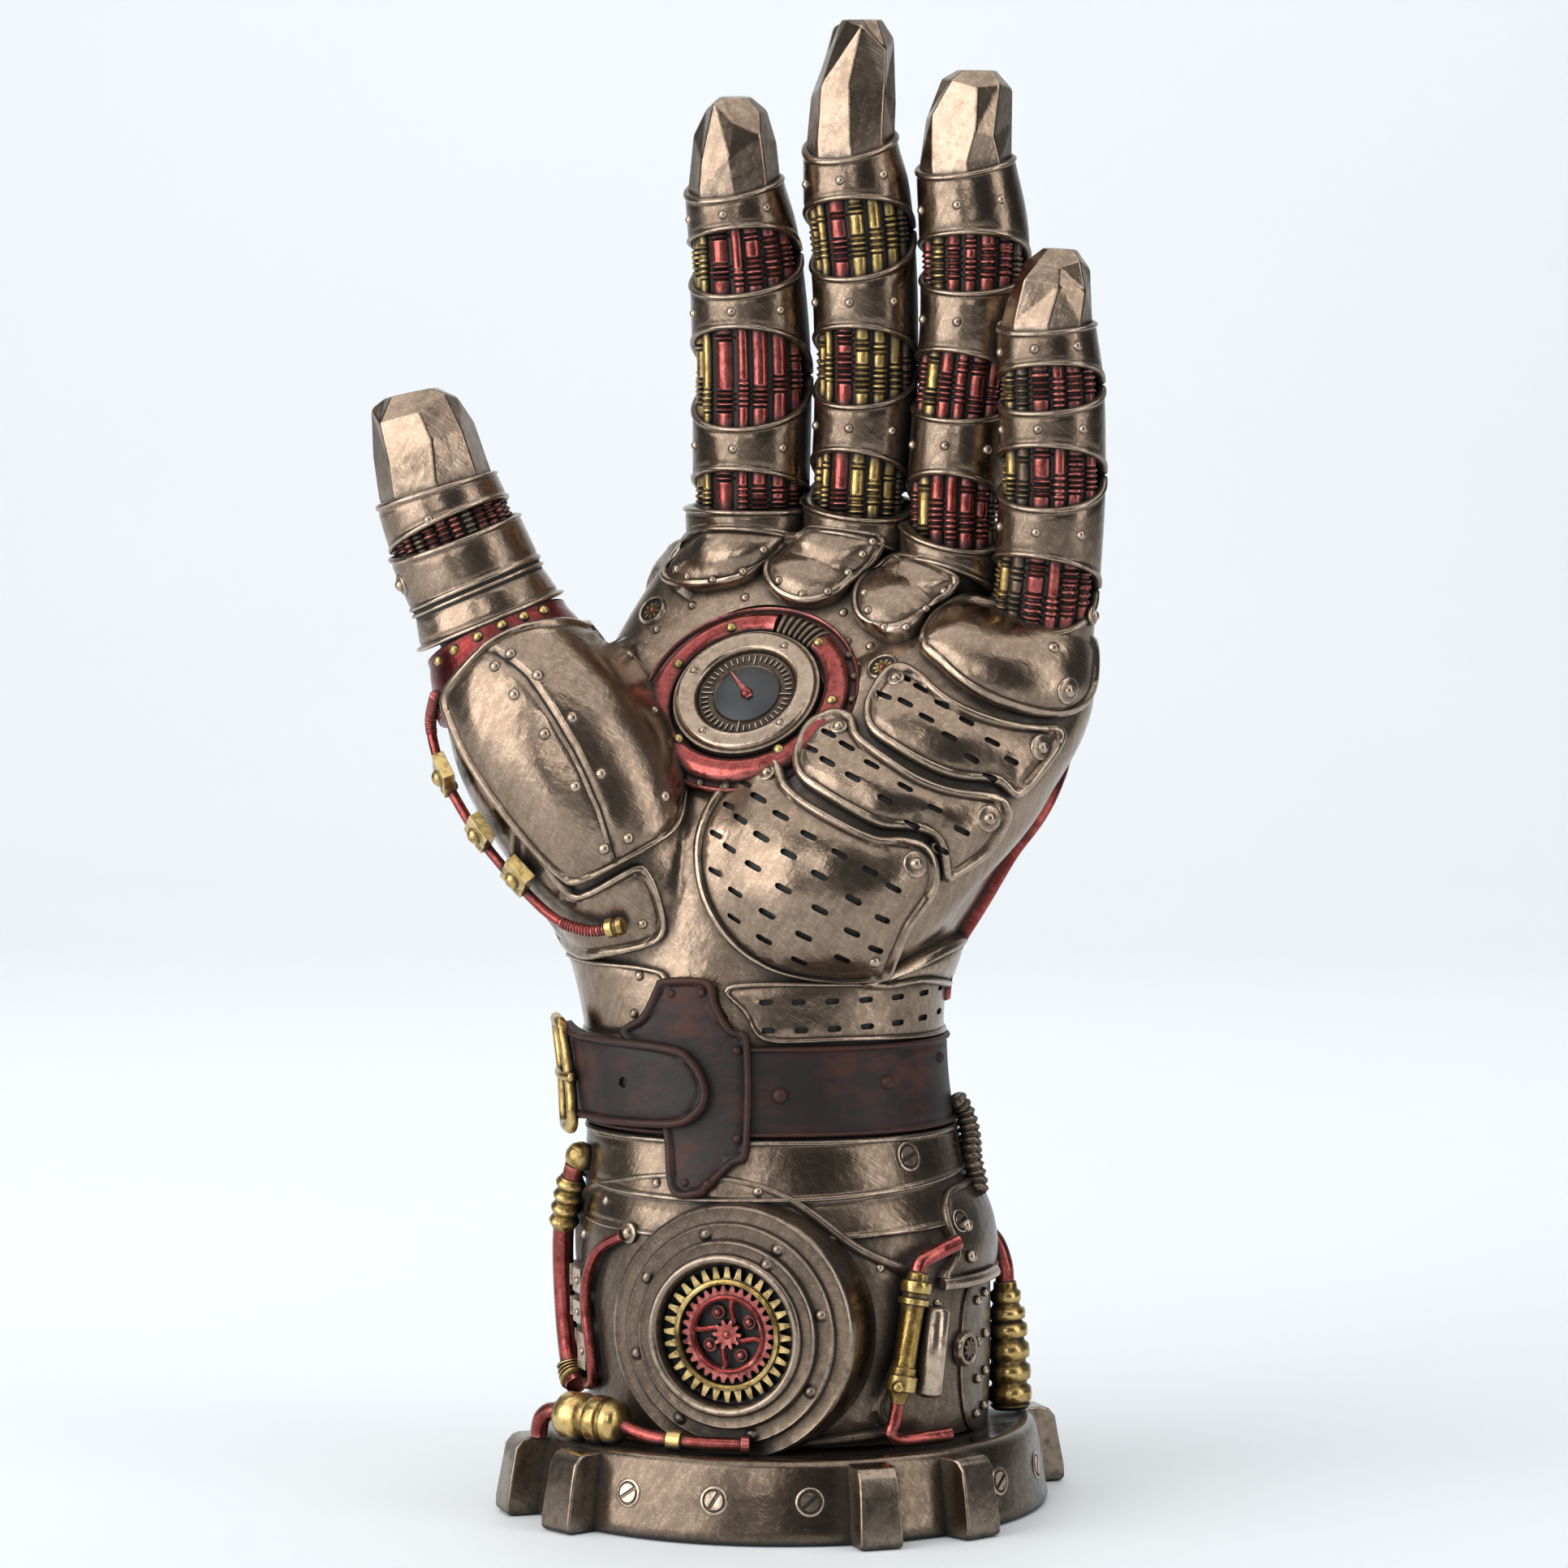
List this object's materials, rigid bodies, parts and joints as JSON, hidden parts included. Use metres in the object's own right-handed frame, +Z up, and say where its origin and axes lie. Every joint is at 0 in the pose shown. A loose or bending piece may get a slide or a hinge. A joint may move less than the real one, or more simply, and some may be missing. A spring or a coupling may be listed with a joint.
{
  "type": "armoured gauntlet on gear-shaped stand",
  "caption": "Armoured gauntlet of a left hand, raised with open fingers on a gear-shaped stand, with rods between its finger bands, a palm dial, a gear boss and a buckled wrist strap.",
  "frame": {"origin": "centre of the stand's flat underside", "axes": "+Z up along the forearm, -Y the side the palm faces, -X towards the thumb"},
  "size_m": [0.1448, 0.1138, 0.2937],
  "materials": {
    "bronze": "antique bronze over a cast body, polished on the high spots and dark in the recesses",
    "dark_bronze": "antique bronze, darker, with worn edges",
    "red_copper": "metallic red with a black wash",
    "rod_red": "metallic red and gold rods with a black wash between them",
    "old_gold": "dull metallic gold with a black wash",
    "dial_bezel": "satin pewter-bronze bezel round a slate dial",
    "strap_leather": "dark brown leather with reddish rubbed edges"
  },
  "bodies": {
    "root": {"back_plate": "bronze", "back_trim": "red_copper", "base_cartridge": "old_gold", "cuff_lame_lower": "bronze", "cuff_lame_upper": "bronze", "cuff_pipe": "red_copper", "cuff_plate": "bronze", "cuff_shell": "bronze", "dial_gauge": "dial_bezel", "dial_surround": "red_copper", "gear_boss": "bronze", "gear_stand": "dark_bronze", "hand_shell": "bronze", "index_band_1": "bronze", "index_band_2": "bronze", "index_band_3": "bronze", "index_cap": "bronze", "index_rods": "rod_red", "knuckle_guard": "bronze", "knuckle_pad_index": "bronze", "knuckle_pad_little": "bronze", "knuckle_pad_middle": "bronze", "knuckle_pad_ring": "bronze", "little_band_1": "bronze", "little_band_2": "bronze", "little_band_3": "bronze", "little_cap": "bronze", "little_rods": "rod_red", "middle_band_1": "bronze", "middle_band_2": "bronze", "middle_band_3": "bronze", "middle_cap": "bronze", "middle_rods": "rod_red", "palm_lame_1": "bronze", "palm_lame_2": "bronze", "palm_lame_3": "bronze", "piston": "old_gold", "ring_band_1": "bronze", "ring_band_2": "bronze", "ring_band_3": "bronze", "ring_cap": "bronze", "ring_gear": "old_gold", "ring_rods": "rod_red", "side_bellows": "old_gold", "spoked_gear": "red_copper", "strap_buckle": "old_gold", "strap_plate": "strap_leather", "strap_tongue": "strap_leather", "thumb_ball_plate": "bronze", "thumb_band_1": "bronze", "thumb_band_2": "bronze", "thumb_cap": "bronze", "thumb_collar": "bronze", "thumb_heel_plate": "bronze", "thumb_pipe": "red_copper", "thumb_ring": "red_copper", "thumb_rods": "rod_red", "wrist_left_plate": "bronze", "wrist_slotted_plate": "bronze", "wrist_strap": "strap_leather"}
  },
  "joints": []
}
